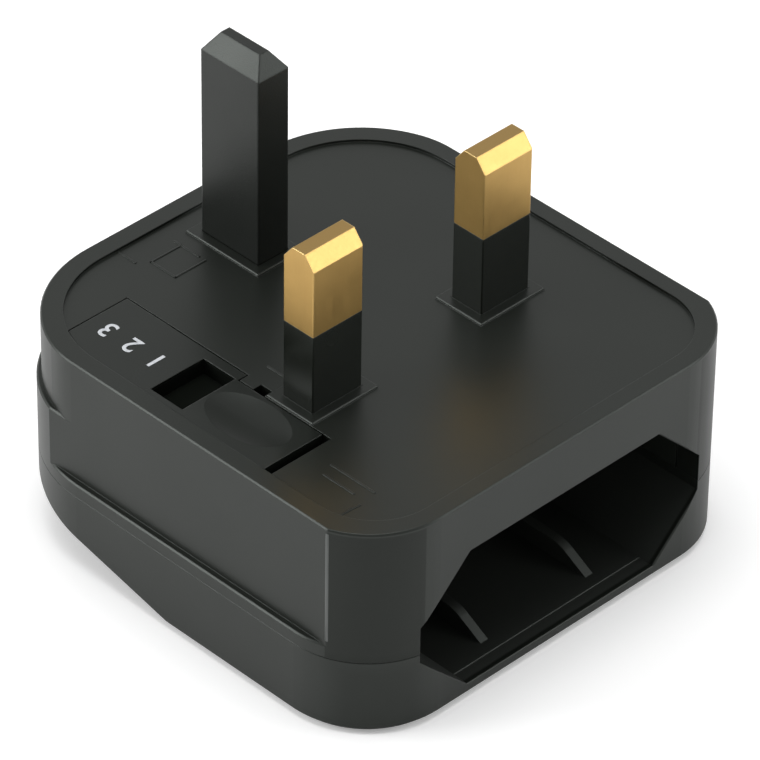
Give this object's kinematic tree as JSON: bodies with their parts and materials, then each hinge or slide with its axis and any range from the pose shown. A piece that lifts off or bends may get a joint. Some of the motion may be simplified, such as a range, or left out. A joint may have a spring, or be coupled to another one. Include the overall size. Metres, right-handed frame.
{
  "type": "plug_adapter",
  "caption": "Black plastic plug adapter with sleeved brass line pins, plastic earth pin, removable fuse carrier and an eight-sided mouth for a flat two-pin plug",
  "frame": {"origin": "middle of the body in plan, at the level of the flat front half of the back, on which the adapter rests with its pins up", "axes": "+Z out of the pin face along the pins, +X from the live pin to the neutral pin, +Y from the mouth towards the earth pin"},
  "size_m": [0.052, 0.0534, 0.0469],
  "materials": {
    "housing_plastic": "black, fine moulded grain",
    "liner_plastic": "black, plain",
    "carrier_plastic": "black, smooth",
    "sleeve_plastic": "black, glossy",
    "earth_plastic": "grey black, grainy",
    "pin_brass": "milled",
    "strap_brass": "rolled strip",
    "plated_cap": "nickel plated",
    "fuse_ceramic": "unglazed ceramic tube",
    "spring_steel": "zinc plated"
  },
  "bodies": {
    "housing": {"base_housing": "housing_plastic", "back_cover": "housing_plastic", "chamber_liner": "liner_plastic", "contact_holder": "liner_plastic", "live_pin": "pin_brass", "neutral_pin": "pin_brass", "live_sleeve": "sleeve_plastic", "neutral_sleeve": "sleeve_plastic", "earth_pin": "earth_plastic", "front_fuse_contact": "strap_brass", "rear_fuse_contact": "strap_brass", "neutral_strap": "strap_brass", "live_contact": "strap_brass", "neutral_contact": "strap_brass", "live_contact_spring": "spring_steel", "neutral_contact_spring": "spring_steel", "cover_screws": "spring_steel"},
    "carrier": {"fuse_carrier": "carrier_plastic", "fuse_body": "fuse_ceramic", "fuse_cap_front": "plated_cap", "fuse_cap_rear": "plated_cap"}
  },
  "joints": [
    {"name": "carrier_pull", "type": "slide", "parent": "housing", "child": "carrier", "axis": [0, 0, 1], "range_m": [0, 0.011]}
  ]
}
